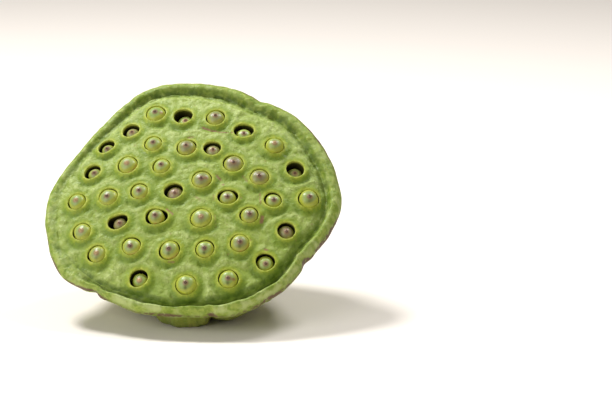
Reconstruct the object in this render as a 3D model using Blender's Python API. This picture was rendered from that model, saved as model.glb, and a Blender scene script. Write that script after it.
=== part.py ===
"""Lotus pod lying on its side: the grown receptacle, a seed in each well and the cut stem.

Metres, +Z up. The seed face looks towards -Y and up. The origin is the middle of the whole
pod's footprint, on the surface that it lies on.

Every sub-part is modelled in the pod's own axes, which a parent empty then leans over:
x to the right and y up along the seed face, z out of the face along the pod's axis.
"""

import math

import bmesh
import bpy
from mathutils import Vector
from mathutils.geometry import delaunay_2d_cdt

MM = 0.001

# How the pod lies: its axis leans from straight up towards -Y
LEAN = math.radians(47.0)
FLAT_SPOT_DEPTH = 1.4 * MM

# Lip, seen square on the face: its radius in mm at even steps of bearing, from +x towards +y
LIP_RADII = [60.0, 58.3, 57.2, 54.6, 56.4, 58.4, 54.0, 54.3, 59.2, 60.4, 55.8, 51.6, 50.1, 52.9, 54.0, 55.0]
COLUMNS = 96

# Seed face: a shallow dome inside the lip's rim, which is widest at one bearing
DOME_HEIGHT = 5.0 * MM
DOME_RADIUS = 49.0 * MM
RIM_WIDTH = 6.6 * MM
RIM_WIDTH_SWING = 1.8 * MM
RIM_WIDEST_BEARING = math.radians(45.0)

# Rim, from the groove round the face over the rolled lip to its underside:
# share of the rim's width, and height in mm from the face's edge
RIM_SECTION = [(0.18, -1.2), (0.42, -0.3), (0.70, 0.1), (0.92, -0.9), (1.0, -2.6), (0.92, -4.8), (0.6, -6.4)]

# Body below the rim: a bowl that closes on the stem, with shallow upright ribs
BODY_TOP = -8.5 * MM
BODY_BOTTOM = -50.0 * MM
BODY_SHARE_OF_LIP = 0.90
BODY_FULLNESS = 1.6
BODY_TAPER = 0.62
BODY_LEVELS = [0.0, 0.09, 0.2, 0.32, 0.44, 0.56, 0.68, 0.79, 0.88, 0.95]
BASE_RADIUS = 7.6 * MM
RIB_HEIGHT = 1.9 * MM
RIB_RISE = 0.7
RIBS = 13
RIB_PHASE = 3.07
# Ribs that swell under the lip: bearing and half the width in degrees, and height in mm
SWELLINGS = [(266.0, 9.0, 2.2), (291.0, 8.0, 1.2)]
SWELLING_LEVEL = 0.2
SWELLING_REACH = 0.2

# Wells: x and y on the face, width of the opening, and how far the seed's tip stands out of it, in mm
OUTER_WELLS = [
    (-18.0, 39.5, 8.5, 2.0),
    (-6.5, 38.0, 8.0, -2.5),
    (7.0, 37.5, 8.2, 2.0),
    (19.0, 31.5, 7.9, -1.0),
    (32.0, 25.0, 8.0, 3.0),
    (41.0, 14.5, 7.7, -2.5),
    (47.0, 1.5, 8.6, 3.0),
    (39.0, -13.5, 7.5, -1.0),
    (31.5, -27.5, 7.8, -0.5),
    (17.5, -35.5, 8.1, 2.0),
    (1.0, -38.5, 8.5, 3.0),
    (-18.0, -36.0, 7.7, -1.0),
    (-36.0, -25.5, 7.7, 2.0),
    (-43.0, -15.5, 7.8, 2.0),
    (-46.5, -2.0, 7.7, 2.0),
    (-41.5, 11.5, 6.9, -0.5),
    (-37.0, 23.5, 6.7, -0.5),
    (-27.5, 31.0, 7.0, -1.0),
]
MIDDLE_WELLS = [
    (-17.5, 24.0, 7.6, 2.0),
    (-3.5, 22.0, 8.3, 2.0),
    (7.0, 22.0, 7.3, -1.0),
    (16.0, 15.0, 8.6, 1.5),
    (27.0, 9.5, 8.0, 2.0),
    (33.0, -0.5, 7.4, 0.5),
    (24.0, -8.0, 7.7, 2.0),
    (21.0, -20.5, 7.9, 2.0),
    (7.5, -23.5, 7.9, 2.0),
    (-6.5, -24.5, 8.6, 2.0),
    (-22.0, -22.5, 7.9, 2.0),
    (-28.5, -12.0, 7.6, -1.0),
    (-33.5, -0.5, 8.1, 2.0),
    (-27.0, 14.0, 8.5, 2.0),
]
INNER_WELLS = [
    (-13.0, 13.0, 7.5, 2.0),
    (4.0, 7.0, 8.4, 2.0),
    (15.0, -0.5, 7.9, 0.5),
    (5.0, -10.5, 8.9, 2.0),
    (-13.0, -10.0, 8.4, 2.0),
    (-7.0, 1.5, 7.7, -1.0),
    (-21.0, 1.5, 7.6, 2.0),
]
WELLS = OUTER_WELLS + MIDDLE_WELLS + INNER_WELLS
WELL_SIDES = 14
COLLAR_HEIGHT = 0.8 * MM
COLLAR_WIDTH = 1.8 * MM
COLLAR_SHARE_OF_ROOM = 0.42

# Seeds: share of the widest radius, and share of the length up from the base
SEED_LENGTH = 13.0 * MM
SEED_SECTION = [(0.62, 0.10), (0.96, 0.36), (0.98, 0.62), (0.74, 0.86), (0.28, 0.955)]
SEED_SIDES = 10
SEED_CLEARANCE = 0.45 * MM

# Stem: straight out of the base, then a bend down to the surface, then a run along it
STEM_RADIUS = 6.3 * MM
STEM_FLANGE_RADIUS = 7.2 * MM
STEM_FLANGE_LENGTH = 3.0 * MM
STEM_STRAIGHT = 2.0 * MM
STEM_RUN = 18.0 * MM
STEM_SIDES = 16
STEM_BEND_STEPS = 7
JOIN_GAP = 0.3 * MM


def clear_scene():
    for old in list(bpy.data.objects):
        bpy.data.objects.remove(old, do_unlink=True)


def material(name, colour, roughness):
    """A matt plant skin of one colour."""
    skin = bpy.data.materials.new(name)
    skin.use_nodes = True
    shader = skin.node_tree.nodes["Principled BSDF"]
    shader.inputs["Base Color"].default_value = (*colour, 1.0)
    shader.inputs["Roughness"].default_value = roughness
    shader.inputs["Metallic"].default_value = 0.0
    return skin


def add_object(name, mesh, skin, parent):
    piece = bpy.data.objects.new(name, mesh)
    bpy.context.scene.collection.objects.link(piece)
    piece.parent = parent
    if not mesh.materials:
        mesh.materials.append(skin)
    return piece


def finished_mesh(bm, name, sharp_angle):
    bmesh.ops.recalc_face_normals(bm, faces=bm.faces)
    mesh = bpy.data.meshes.new(name)
    bm.to_mesh(mesh)
    bm.free()
    mesh.shade_smooth()
    mesh.set_sharp_from_angle(angle=sharp_angle)
    return mesh


def circle(centre, radius, sides):
    """Points round a circle in the face's plane, as (x, y)."""
    turns = [2.0 * math.pi * step / sides for step in range(sides)]
    return [(centre[0] + radius * math.cos(turn), centre[1] + radius * math.sin(turn)) for turn in turns]


def add_ring(bm, points):
    return [bm.verts.new(point) for point in points]


def bridge(bm, ring, next_ring):
    """Quads between two rings of the same number of points."""
    for step in range(len(ring)):
        after = (step + 1) % len(ring)
        bm.faces.new((ring[step], ring[after], next_ring[after], next_ring[step]))


# The receptacle's outline and surface


def lip_radius(bearing):
    """The lip's radius at a bearing, on a smooth curve through LIP_RADII."""
    count = len(LIP_RADII)
    place = bearing / (2.0 * math.pi) * count
    first = math.floor(place)
    t = place - first
    before, start, end, after = (LIP_RADII[(first + offset) % count] for offset in (-1, 0, 1, 2))
    slope_in = 0.5 * (end - before)
    slope_out = 0.5 * (after - start)
    bend = 2.0 * (start - end) + slope_in + slope_out
    rise = 3.0 * (end - start) - 2.0 * slope_in - slope_out
    return (((bend * t + rise) * t + slope_in) * t + start) * MM


def rim_width(bearing):
    return RIM_WIDTH + RIM_WIDTH_SWING * math.cos(bearing - RIM_WIDEST_BEARING)


def face_radius(bearing):
    return lip_radius(bearing) - rim_width(bearing)


def dome(x, y):
    """Height of the seed face at a point on it."""
    return DOME_HEIGHT * (1.0 - (x * x + y * y) / DOME_RADIUS**2)


def dome_normal(x, y):
    steepness = 2.0 * DOME_HEIGHT / DOME_RADIUS**2
    return Vector((steepness * x, steepness * y, 1.0)).normalized()


def swelling(bearing, level):
    """How far the swollen ribs stand out at a bearing and level of the body."""
    height = 0.0
    for middle, half_width, peak in SWELLINGS:
        across = (math.degrees(bearing) - middle) / half_width
        along = (level - SWELLING_LEVEL) / SWELLING_REACH
        height += peak * MM * math.exp(-(across**2) - along**2)
    return height


def body_radius(bearing, level):
    """The body's radius at a bearing; level runs from 0 under the rim to 1 at the stem."""
    share = BODY_SHARE_OF_LIP * (1.0 - level**BODY_FULLNESS) ** BODY_TAPER
    mean_lip = sum(LIP_RADII) / len(LIP_RADII) * MM
    outline = lip_radius(bearing) + (mean_lip - lip_radius(bearing)) * level**2
    drift = 0.5 * math.sin(5.0 * bearing) - 0.9 * math.sin(2.0 * bearing)
    rib = math.cos(RIBS * bearing + drift + RIB_PHASE)
    return share * outline + RIB_HEIGHT * math.sin(math.pi * level**RIB_RISE) * rib + swelling(bearing, level)


# The receptacle's mesh


class Well:
    """One opening in the seed face, with its axis square to the dome."""

    def __init__(self, x_mm, y_mm, width_mm, tip_mm):
        self.x = x_mm * MM
        self.y = y_mm * MM
        self.radius = 0.5 * width_mm * MM
        self.tip_out = tip_mm * MM
        self.axis = dome_normal(self.x, self.y)
        self.mouth = Vector((self.x, self.y, dome(self.x, self.y) + COLLAR_HEIGHT))
        self.depth = SEED_LENGTH - self.tip_out + SEED_CLEARANCE

    def gap_to(self, other):
        return math.hypot(self.x - other.x, self.y - other.y) - self.radius - other.radius

    def gap_to_edge(self):
        return face_radius(math.atan2(self.y, self.x)) - math.hypot(self.x, self.y) - self.radius


def collar_radius(well, wells):
    room = min([well.gap_to(other) for other in wells if other is not well] + [well.gap_to_edge()])
    return well.radius + min(COLLAR_WIDTH, COLLAR_SHARE_OF_ROOM * room)


def add_seed_face(bm, wells, edge_ring):
    """The dome inside edge_ring, with a raised collar round each well. Returns the wells' mouths."""
    outlines = [[(vert.co.x, vert.co.y) for vert in edge_ring]]
    rings = [edge_ring]
    mouths = []
    for well in wells:
        for radius, lift in ((collar_radius(well, wells), 0.0), (well.radius, COLLAR_HEIGHT)):
            outline = circle((well.x, well.y), radius, WELL_SIDES)
            outlines.append(outline)
            rings.append(add_ring(bm, [(x, y, dome(x, y) + lift) for x, y in outline]))
        mouths.append(rings[-1])

    flat_points = []
    borders = []
    owners = []
    corners = []
    for index, (outline, ring) in enumerate(zip(outlines, rings)):
        first = len(flat_points)
        count = len(outline)
        flat_points += [Vector(point) / MM for point in outline]
        borders += [(first + step, first + (step + 1) % count) for step in range(count)]
        owners += [index] * count
        corners += ring

    _, _, triangles, sources, _, _ = delaunay_2d_cdt(flat_points, borders, [], 0, 1e-5)
    for triangle in triangles:
        inputs = [sources[corner][0] for corner in triangle]
        if len({owners[corner] for corner in inputs}) > 1:
            bm.faces.new([corners[corner] for corner in inputs])
    return mouths


def add_well_walls(bm, wells, mouths):
    for well, mouth in zip(wells, mouths):
        floor = add_ring(bm, [vert.co - well.axis * well.depth for vert in mouth])
        bridge(bm, mouth, floor)
        bm.faces.new(floor)


def add_rim_and_body(bm, edge_ring, bearings):
    ring = edge_ring
    for share, height in RIM_SECTION:
        points = []
        for bearing, edge in zip(bearings, edge_ring):
            radius = face_radius(bearing) + share * rim_width(bearing)
            points.append((radius * math.cos(bearing), radius * math.sin(bearing), edge.co.z + height * MM))
        next_ring = add_ring(bm, points)
        bridge(bm, ring, next_ring)
        ring = next_ring

    for level in BODY_LEVELS:
        z = BODY_TOP + (BODY_BOTTOM - BODY_TOP) * level
        radii = [body_radius(bearing, level) for bearing in bearings]
        points = [(r * math.cos(bearing), r * math.sin(bearing), z) for r, bearing in zip(radii, bearings)]
        next_ring = add_ring(bm, points)
        bridge(bm, ring, next_ring)
        ring = next_ring

    base = add_ring(bm, [(x, y, BODY_BOTTOM) for x, y in circle((0.0, 0.0), BASE_RADIUS, COLUMNS)])
    bridge(bm, ring, base)
    bm.faces.new(base)


def downwards():
    """Straight down in the pod's own axes."""
    return Vector((0.0, -math.sin(LEAN), -math.cos(LEAN)))


def resting_depth(bm):
    """How far below the face's centre the surface lies that the pod rests on."""
    return max(vert.co.dot(downwards()) for vert in bm.verts) - FLAT_SPOT_DEPTH


def flatten_resting_spot(bm, depth):
    bmesh.ops.bisect_plane(
        bm,
        geom=bm.verts[:] + bm.edges[:] + bm.faces[:],
        plane_co=downwards() * depth,
        plane_no=downwards(),
        clear_outer=True,
    )
    open_edges = [edge for edge in bm.edges if edge.is_boundary]
    bmesh.ops.holes_fill(bm, edges=open_edges, sides=0)


def receptacle_mesh(wells):
    """The receptacle, and how far its face's centre stands above the surface it lies on."""
    bm = bmesh.new()
    bearings = [2.0 * math.pi * column / COLUMNS for column in range(COLUMNS)]
    edge_points = [(face_radius(b) * math.cos(b), face_radius(b) * math.sin(b)) for b in bearings]
    edge_ring = add_ring(bm, [(x, y, dome(x, y)) for x, y in edge_points])
    mouths = add_seed_face(bm, wells, edge_ring)
    add_well_walls(bm, wells, mouths)
    add_rim_and_body(bm, edge_ring, bearings)
    depth = resting_depth(bm)
    flatten_resting_spot(bm, depth)
    return finished_mesh(bm, "receptacle", math.radians(50.0)), depth


# Seeds


def seed_mesh():
    """A seed of radius 1 with its tip at the origin, so that each seed's scale sets its width."""
    bm = bmesh.new()
    tip = bm.verts.new((0.0, 0.0, 0.0))
    base = bm.verts.new((0.0, 0.0, -SEED_LENGTH))
    rings = []
    for share, height in SEED_SECTION:
        z = SEED_LENGTH * (height - 1.0)
        rings.append(add_ring(bm, [(x, y, z) for x, y in circle((0.0, 0.0), share, SEED_SIDES)]))
    for ring, next_ring in zip(rings, rings[1:]):
        bridge(bm, ring, next_ring)
    for pole, ring in ((base, rings[0]), (tip, rings[-1])):
        for step in range(SEED_SIDES):
            bm.faces.new((pole, ring[step], ring[(step + 1) % SEED_SIDES]))
    return finished_mesh(bm, "seed", math.radians(60.0))


def add_seeds(wells, parent):
    mesh = seed_mesh()
    skin = material("seed_skin", (0.36, 0.43, 0.22), 0.45)
    for number, well in enumerate(wells, start=1):
        seed = add_object(f"seed_{number:02d}", mesh, skin, parent)
        seed.location = well.mouth + well.axis * well.tip_out
        seed.rotation_euler = well.axis.to_track_quat("Z", "Y").to_euler()
        width = well.radius * math.cos(math.pi / WELL_SIDES) * well.axis.z - SEED_CLEARANCE
        seed.scale = (width, width, 1.0)


# Stem


def stem_route(start_height):
    """Points along the stem's middle and its heading at each, as (distance, place, heading)."""
    heading = Vector((0.0, 0.0, -1.0))
    place = Vector((0.0, 0.0, BODY_BOTTOM - JOIN_GAP))
    route = [(0.0, place, heading)]
    bend = math.pi / 2.0 - LEAN
    drop = start_height - STEM_STRAIGHT * math.cos(LEAN) - STEM_RADIUS * math.cos(math.pi / STEM_SIDES)
    bend_radius = drop / (1.0 - math.cos(bend))
    place = place + heading * STEM_STRAIGHT
    travelled = STEM_STRAIGHT
    route.append((travelled, place, heading))
    corner = place
    for step in range(1, STEM_BEND_STEPS + 1):
        turn = bend * step / STEM_BEND_STEPS
        heading = Vector((0.0, math.sin(turn), -math.cos(turn)))
        place = corner + bend_radius * Vector((0.0, 1.0 - math.cos(turn), -math.sin(turn)))
        route.append((travelled + bend_radius * turn, place, heading))
    travelled += bend_radius * bend
    route.append((travelled + STEM_RUN, place + heading * STEM_RUN, heading))
    return route


def stem_mesh(start_height):
    """A tube along the stem's route, with a flange where it meets the base."""
    bm = bmesh.new()
    side = Vector((1.0, 0.0, 0.0))
    rings = []
    for travelled, place, heading in stem_route(start_height):
        flange = max(0.0, 1.0 - travelled / STEM_FLANGE_LENGTH)
        radius = STEM_RADIUS + (STEM_FLANGE_RADIUS - STEM_RADIUS) * flange
        upright = side.cross(heading)
        points = []
        for step in range(STEM_SIDES):
            turn = 2.0 * math.pi * (step + 0.5) / STEM_SIDES
            points.append(place + radius * (math.cos(turn) * upright + math.sin(turn) * side))
        rings.append(add_ring(bm, points))
    for ring, next_ring in zip(rings, rings[1:]):
        bridge(bm, ring, next_ring)
    bm.faces.new(rings[0])
    bm.faces.new(rings[-1])
    return finished_mesh(bm, "stem", math.radians(50.0))


# The whole pod


def centre_footprint(root):
    """Move the pod so that the middle of its footprint is the origin."""
    bpy.context.view_layer.update()
    corners = []
    for piece in root.children:
        corners += [piece.matrix_world @ vert.co for vert in piece.data.vertices]
    for axis in (0, 1):
        along = [corner[axis] for corner in corners]
        root.location[axis] -= 0.5 * (min(along) + max(along))


def build():
    clear_scene()
    root = bpy.data.objects.new("pod_axis", None)
    bpy.context.scene.collection.objects.link(root)
    root.rotation_euler = (LEAN, 0.0, 0.0)

    wells = [Well(*row) for row in WELLS]
    mesh, face_height = receptacle_mesh(wells)
    root.location.z = face_height
    add_object("receptacle", mesh, material("receptacle_green", (0.19, 0.31, 0.09), 0.55), root)
    add_seeds(wells, root)
    base_height = face_height + (BODY_BOTTOM - JOIN_GAP) * math.cos(LEAN)
    add_object("stem", stem_mesh(base_height), material("stem_green", (0.24, 0.36, 0.08), 0.5), root)
    centre_footprint(root)


build()
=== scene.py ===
"""Looks of the lotus pod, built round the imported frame.

The receptacle, each seed and the stem are modelled afresh as fine meshes where their CAD
nodes lie, with plant skins made of nodes. Shapes are worked out in mm along the pod's own
axes: x to the right and y up along the seed face, z out of the face. Their zero is the
middle of the face, at the height of its edge.
"""

import math

import bpy
import numpy as np
from mathutils import Matrix, Vector, noise
from mathutils.bvhtree import BVHTree
from mathutils.geometry import delaunay_2d_cdt


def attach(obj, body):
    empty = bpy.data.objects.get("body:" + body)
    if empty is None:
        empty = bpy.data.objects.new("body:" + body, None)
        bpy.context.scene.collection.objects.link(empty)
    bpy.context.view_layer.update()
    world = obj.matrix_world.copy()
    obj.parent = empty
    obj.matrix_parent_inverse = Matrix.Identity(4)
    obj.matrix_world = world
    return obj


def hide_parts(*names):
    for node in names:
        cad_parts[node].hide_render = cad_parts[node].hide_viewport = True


MM = 0.001
BODY = "root"

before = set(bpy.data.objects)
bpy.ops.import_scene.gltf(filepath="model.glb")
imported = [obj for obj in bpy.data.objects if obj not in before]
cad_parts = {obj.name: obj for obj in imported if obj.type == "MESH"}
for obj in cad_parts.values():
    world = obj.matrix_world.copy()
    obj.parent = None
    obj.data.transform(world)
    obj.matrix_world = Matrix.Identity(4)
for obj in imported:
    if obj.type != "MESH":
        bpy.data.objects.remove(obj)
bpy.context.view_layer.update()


# Measures in mm: those of the CAD model, and what the looks add to its edge

LEAN = math.radians(47.0)
POD_TURN = np.array(Matrix.Rotation(LEAN, 3, "X"))
BODY_DEPTH = 50.0
DOME_HEIGHT = 5.0
DOME_RADIUS = 49.0
RIM_WIDTH = 6.6
RIM_WIDTH_SWING = 1.8
RIM_WIDEST_BEARING = math.radians(45.0)
CAD_COLLAR_HEIGHT = 0.8
CAD_SEED_CLEARANCE = 0.45
CAD_WELL_SIDES = 14
CAD_COLUMNS = 96
# Height at which the lip's outline is read off the CAD receptacle
LIP_HEIGHT = -2.6
# Where the rays that read it start, out from the pod's middle
CAST_FROM = 90.0
# Least height of the pieces over the floor
FLOOR_GAP = 0.1
# Lobes of the seed face's edge: middle bearing, how far out in mm, half the width in degrees
FACE_LOBES = [
    (243.0, -0.7, 8.0), (265.0, 1.3, 7.0), (292.0, -0.8, 9.0), (316.0, 0.7, 6.0),
    (336.0, -0.5, 6.0), (75.0, 0.5, 8.0), (28.0, -0.5, 7.0),
]


def cad_points(node):
    """A CAD node's corners in mm, along the pod's axes but from the world's origin."""
    corners = np.array([vert.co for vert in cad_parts[node].data.vertices])
    return corners @ POD_TURN / MM


def find_face_centre():
    receptacle = cad_points("receptacle")
    stem = cad_points("stem")
    stem_top = stem[stem[:, 2] > stem[:, 2].max() - 0.1].mean(axis=0)
    return np.array([stem_top[0], stem_top[1], receptacle[:, 2].min() + BODY_DEPTH])


FACE_CENTRE = find_face_centre()


def to_world(points):
    """Pod points in mm as world points in metres."""
    return (np.asarray(points) + FACE_CENTRE) @ POD_TURN.T * MM


def to_pod(points):
    """World points in metres as pod points in mm."""
    return np.asarray(points) @ POD_TURN / MM - FACE_CENTRE


def even_turns(count):
    """Angles at count even steps round a circle, from 0."""
    return np.arange(count) * 2 * math.pi / count


def spline(controls, places, closed=False):
    """Smooth curve through controls[0], controls[1] ... at the given places along it."""
    controls = np.asarray(controls, float)
    places = np.asarray(places, float)
    count = len(controls)
    first = np.floor(places).astype(int)
    if not closed:
        first = np.clip(first, 0, count - 2)
    t = (places - first).reshape((-1,) + (1,) * (controls.ndim - 1))

    def pick(offset):
        index = first + offset
        return controls[index % count if closed else np.clip(index, 0, count - 1)]

    before, start, end, after = pick(-1), pick(0), pick(1), pick(2)
    slope_in = 0.5 * (end - before)
    slope_out = 0.5 * (after - start)
    bend = 2.0 * (start - end) + slope_in + slope_out
    rise = 3.0 * (end - start) - 2.0 * slope_in - slope_out
    return ((bend * t + rise) * t + slope_in) * t + start


def round_trip(controls, bearings):
    """Values given at even steps of bearing, read at other bearings."""
    places = np.asarray(bearings) % (2 * math.pi) / (2 * math.pi) * len(controls)
    return spline(controls, places, closed=True)


def receptacle_tree():
    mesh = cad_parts["receptacle"].data
    corners = cad_points("receptacle") - FACE_CENTRE
    return BVHTree.FromPolygons([Vector(c) for c in corners], [tuple(p.vertices) for p in mesh.polygons])


def outside_radii(height):
    """The CAD receptacle's outer radius at one height, at even steps of bearing."""
    radii = []
    for bearing in even_turns(CAD_COLUMNS):
        outwards = Vector((math.cos(bearing), math.sin(bearing), 0.0))
        hit = CAD_TREE.ray_cast(outwards * CAST_FROM + Vector((0, 0, height)), -outwards)
        radii.append(Vector(hit[0][:2]).length)
    return np.array(radii)


CAD_TREE = receptacle_tree()
LIP_RADII = outside_radii(LIP_HEIGHT)


def lip_radius(bearings):
    return round_trip(LIP_RADII, bearings)


def rim_width(bearings):
    return RIM_WIDTH + RIM_WIDTH_SWING * np.cos(bearings - RIM_WIDEST_BEARING)


def face_radius(bearings):
    degrees = np.degrees(bearings) % 360.0
    lobes = sum(reach * bell(degrees, middle, width) for middle, reach, width in FACE_LOBES)
    return lip_radius(bearings) - rim_width(bearings) + lobes


def dome(x, y):
    return DOME_HEIGHT * (1.0 - (x * x + y * y) / DOME_RADIUS**2)


class Well:
    """A well and its seed, measured on the seed's CAD node."""

    def __init__(self, node):
        self.node = node
        points = cad_points(node) - FACE_CENTRE
        self.tip = points[points[:, 2].argmax()]
        base = points[points[:, 2].argmin()]
        self.length = np.linalg.norm(self.tip - base)
        self.axis = (self.tip - base) / self.length
        along = (points - base) @ self.axis
        seed_radius = np.linalg.norm(points - base - np.outer(along, self.axis), axis=1).max()
        facet = math.cos(math.pi / CAD_WELL_SIDES)
        self.radius = (seed_radius + CAD_SEED_CLEARANCE) / (facet * self.axis[2])
        self.tip_out = 0.0
        for _ in range(4):
            self.mouth = self.tip - self.axis * self.tip_out
            self.tip_out += (self.mouth[2] - dome(*self.mouth[:2]) - CAD_COLLAR_HEIGHT) / self.axis[2]
        self.mouth = self.tip - self.axis * self.tip_out


WELLS = [Well(node) for node in sorted(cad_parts) if node.startswith("seed_")]
WELL_X = np.array([well.mouth[0] for well in WELLS])
WELL_Y = np.array([well.mouth[1] for well in WELLS])
WELL_R = np.array([well.radius for well in WELLS])


# Small tools

def smooth(value, low, high):
    t = np.clip((np.asarray(value, float) - low) / (high - low), 0.0, 1.0)
    return t * t * (3.0 - 2.0 * t)


def bell(value, middle, width):
    return np.exp(-(((value - middle) / width) ** 2))


def ripple(points, size, seed):
    """Soft noise from -1 to 1 at pod points, with features about size mm wide.

    size may be one number, or one for each axis.
    """
    places = np.asarray(points) / size + np.array([7.3, 3.1, 5.7]) * seed
    return np.array([noise.noise(place) for place in places])


def add_object(name, data):
    thing = bpy.data.objects.new(name, data)
    bpy.context.scene.collection.objects.link(thing)
    return thing


def add_piece(name, points, faces, skin, values):
    """A smooth mesh from pod points in mm; values gives each point's numbers for the skin, by name."""
    mesh = bpy.data.meshes.new(name)
    mesh.from_pydata(to_world(points), [], faces)
    for key, numbers in values.items():
        numbers = np.asarray(numbers, np.float32)
        if numbers.ndim == 1:
            mesh.attributes.new(key, "FLOAT", "POINT").data.foreach_set("value", numbers)
        else:
            attribute = mesh.attributes.new(key, "FLOAT_VECTOR", "POINT")
            attribute.data.foreach_set("vector", numbers.ravel())
    mesh.shade_smooth()
    mesh.materials.append(skin)
    mesh.validate()
    return add_object(name, mesh)


def ring_faces(start, count, rows):
    """Quads of a closed tube whose rows of count points follow each other from index start."""
    row = np.arange(rows - 1)[:, None] * count
    here = np.arange(count)
    after = (here + 1) % count
    near, far = start + row, start + row + count
    return np.stack([near + here, near + after, far + after, far + here], axis=-1).reshape(-1, 4).tolist()


# Receptacle: the seed face

COLLAR_HEIGHT = 1.35
VALLEY_DEPTH = 0.75
RIDGE_HEIGHT = 0.35
# Depth of the groove round the face, in mm, every 30 degrees of bearing
GROOVE_DEPTHS = [1.8, 1.5, 1.4, 1.5, 1.4, 0.6, 0.15, 0.15, 1.8, 2.9, 2.8, 2.5]
# The side of each well on which its mound is high and steep, as a direction on the face
STEEP_WAY = (0.22, -0.975)
# Openings that are clearly oval or pointed: (oval, its bearing, three-sided, its bearing)
OPENING_SHAPES = {
    "seed_04": (0.07, 5, 0.02, 0), "seed_16": (0.08, 50, 0.02, 0), "seed_17": (0.12, 45, 0.02, 0),
    "seed_18": (0.07, 40, 0.02, 0), "seed_30": (0.13, 22, 0.04, 40), "seed_35": (0.09, 8, 0.02, 30),
    "seed_37": (0.12, 0, 0.05, 0),
}
SHAPE_RNG = np.random.default_rng(11)


def opening_shape(well):
    oval, tri = SHAPE_RNG.uniform(0.0, 0.04), SHAPE_RNG.uniform(0.0, 0.025)
    oval_turn, tri_turn = SHAPE_RNG.uniform(0, 180), SHAPE_RNG.uniform(0, 120)
    shape = OPENING_SHAPES.get(well.node, (oval, oval_turn, tri, tri_turn))
    return shape[0], math.radians(shape[1]), shape[2], math.radians(shape[3])


OPENINGS = [opening_shape(well) for well in WELLS]
OVAL, OVAL_TURN, TRI, TRI_TURN = (np.array(part) for part in zip(*OPENINGS))


def opening_radii(turns):
    """Each well's opening radius at a turn about its middle; turns' last axis is the wells."""
    wave = OVAL * np.cos(2 * (turns - OVAL_TURN)) + TRI * np.cos(3 * (turns - TRI_TURN))
    return WELL_R * (1.0 + wave)


def gaps_to_openings(x, y):
    """From each point to each opening's edge, in mm."""
    dx = x[:, None] - WELL_X
    dy = y[:, None] - WELL_Y
    return np.hypot(dx, dy) - opening_radii(np.arctan2(dy, dx))


def steep_side(x, y):
    """For each point and well, 1 on the well's steep side to 0 on its gentle side."""
    dx = x[:, None] - WELL_X
    dy = y[:, None] - WELL_Y
    return 0.5 + 0.5 * (dx * STEEP_WAY[0] + dy * STEEP_WAY[1]) / np.maximum(np.hypot(dx, dy), 0.01)


def face_surface(x, y):
    """Height of the seed face and what its skin needs to know, at each point."""
    gaps = gaps_to_openings(x, y)
    nearest = gaps.min(axis=1)
    second = np.partition(gaps, 1, axis=1)[:, 1]
    blur = 0.45
    pull = np.exp(-(gaps - nearest[:, None]) / blur)
    soft = nearest - blur * np.log(pull.sum(axis=1))
    steep = (pull * steep_side(x, y)).sum(axis=1) / pull.sum(axis=1)
    inside = face_radius(np.arctan2(y, x)) - np.hypot(x, y)
    flat = np.column_stack([x, y, np.zeros_like(x)])
    swell = ripple(flat, 5.5, 2)
    lumps = ripple(flat, 2.6, 1)
    crease = 0.35 - np.abs(ripple(flat, 4.2, 13)) * 1.3

    apart = bell(second - nearest, 0.0, 2.2)
    ridge = apart * smooth(soft, 1.6, 3.2) * np.clip(0.6 + 1.2 * swell, 0.0, 1.0)
    valley = (0.05 + 0.95 * steep) * bell(soft, 2.7, 1.3) * np.clip(0.8 + 1.1 * lumps, 0.3, 1.3)
    uneven = 1.0 + 0.5 * ripple(flat, 4.5, 18)
    mound = np.exp(-((np.maximum(soft, 0.0) / (2.2 * uneven)) ** 1.25))
    open_skin = smooth(soft, 0.3, 2.6)
    edge = np.clip(round_trip(GROOVE_DEPTHS, np.arctan2(y, x)) / 1.5, 0.1, 1.0)
    low_edge = smooth(-y, 18.0, 34.0)
    crest = edge * bell(inside, 1.3, 1.0) * smooth(soft, 0.5, 2.5)
    relief = 0.34 * lumps + 0.30 * swell + 0.26 * crease
    height = dome(x, y)
    height += COLLAR_HEIGHT * (0.3 + 0.7 * steep) * mound
    height -= 0.22 * (1.0 - smooth(nearest, 0.0, 0.35))
    height -= VALLEY_DEPTH * valley
    height += RIDGE_HEIGHT * ridge
    height += open_skin * relief
    height += smooth(soft, 0.2, 1.2) * (0.10 * ripple(flat, 1.3, 3) + 0.22 * ripple(flat, 2.0, 14))
    height += 0.3 * crest
    height -= 1.1 * edge * (1.0 - smooth(inside, -0.6, 2.2))
    # Painted highlight: the bloom is made paler on the upper, gentle side of each mound, on the shelf
    # above it and on the tops of the bumps
    shelf = bell(soft, 3.3, 1.3) * (1.0 - steep)
    bloom_and_highlight = smooth(soft + 1.6 * (0.5 - steep) + 0.8 * lumps, 1.4, 3.6)
    bloom_and_highlight *= 1.0 - 0.8 * np.minimum(valley, 1.0)
    bloom_and_highlight *= np.clip(0.5 + 1.5 * relief + 0.5 * shelf + 0.3 * ridge, 0.05, 1.0)
    values = {
        "opening": nearest,
        "lower": steep,
        "bloom_and_highlight": np.maximum(bloom_and_highlight, 0.9 * crest * (1.0 - low_edge)),
        # Painted shade on the face's edge next to the groove, at the bottom
        "groove": 0.85 * low_edge * (1.0 - smooth(inside, 0.3, 2.4)),
        # Deeper green in the valleys with painted shade, only on each mound's lower side
        "valley": np.minimum(valley, 1.0) * smooth(steep, 0.25, 0.8),
    }
    return height, values


RIM_COLUMNS = 560
MOUTH_SIDES = 44
COLLAR_RINGS = (0.22, 0.5, 0.85, 1.25, 1.7)
FILL_STEP = 0.66


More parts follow.
